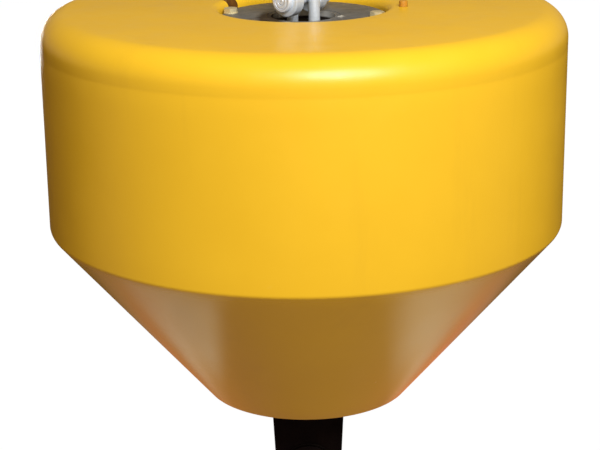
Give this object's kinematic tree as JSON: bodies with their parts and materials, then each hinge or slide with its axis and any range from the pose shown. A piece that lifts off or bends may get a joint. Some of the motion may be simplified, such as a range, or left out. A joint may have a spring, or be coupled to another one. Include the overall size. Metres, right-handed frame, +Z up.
{
  "type": "mooring buoy",
  "caption": "Mooring buoy: a cone-bottomed float on a steel core, with a mooring link and swinging shackle on top and an eye plate below.",
  "frame": {"origin": "on the buoy's axis at its design waterline", "axes": "+Z up along the axis, towards the shackle; +Y is the direction the eye's hole runs"},
  "size_m": [1, 1, 1.1607],
  "materials": {
    "yellow_shell": "smooth moulded, soft sheen",
    "plug_plastic": "moulded, matte",
    "plate_steel": "galvanised, dull",
    "black_steel": "black paint, satin",
    "galvanised": "galvanised, brushed"
  },
  "bodies": {
    "buoy": {"float_body": "yellow_shell", "fill_plug": "plug_plastic", "top_plate": "plate_steel", "core_tube": "black_steel", "link_seat": "black_steel", "mooring_link": "galvanised", "bottom_flange": "black_steel", "bottom_eye": "black_steel", "eye_cheek_front": "black_steel", "eye_cheek_back": "black_steel"},
    "shackle": {"shackle_bow": "galvanised", "shackle_pin": "galvanised", "shackle_nut": "galvanised"}
  },
  "joints": [
    {"name": "shackle_swing", "type": "hinge", "parent": "buoy", "child": "shackle", "pos_m": [0, 0, 0.3037], "axis": [-0.6428, -0.766, 0], "range_deg": [-100, 100]}
  ]
}
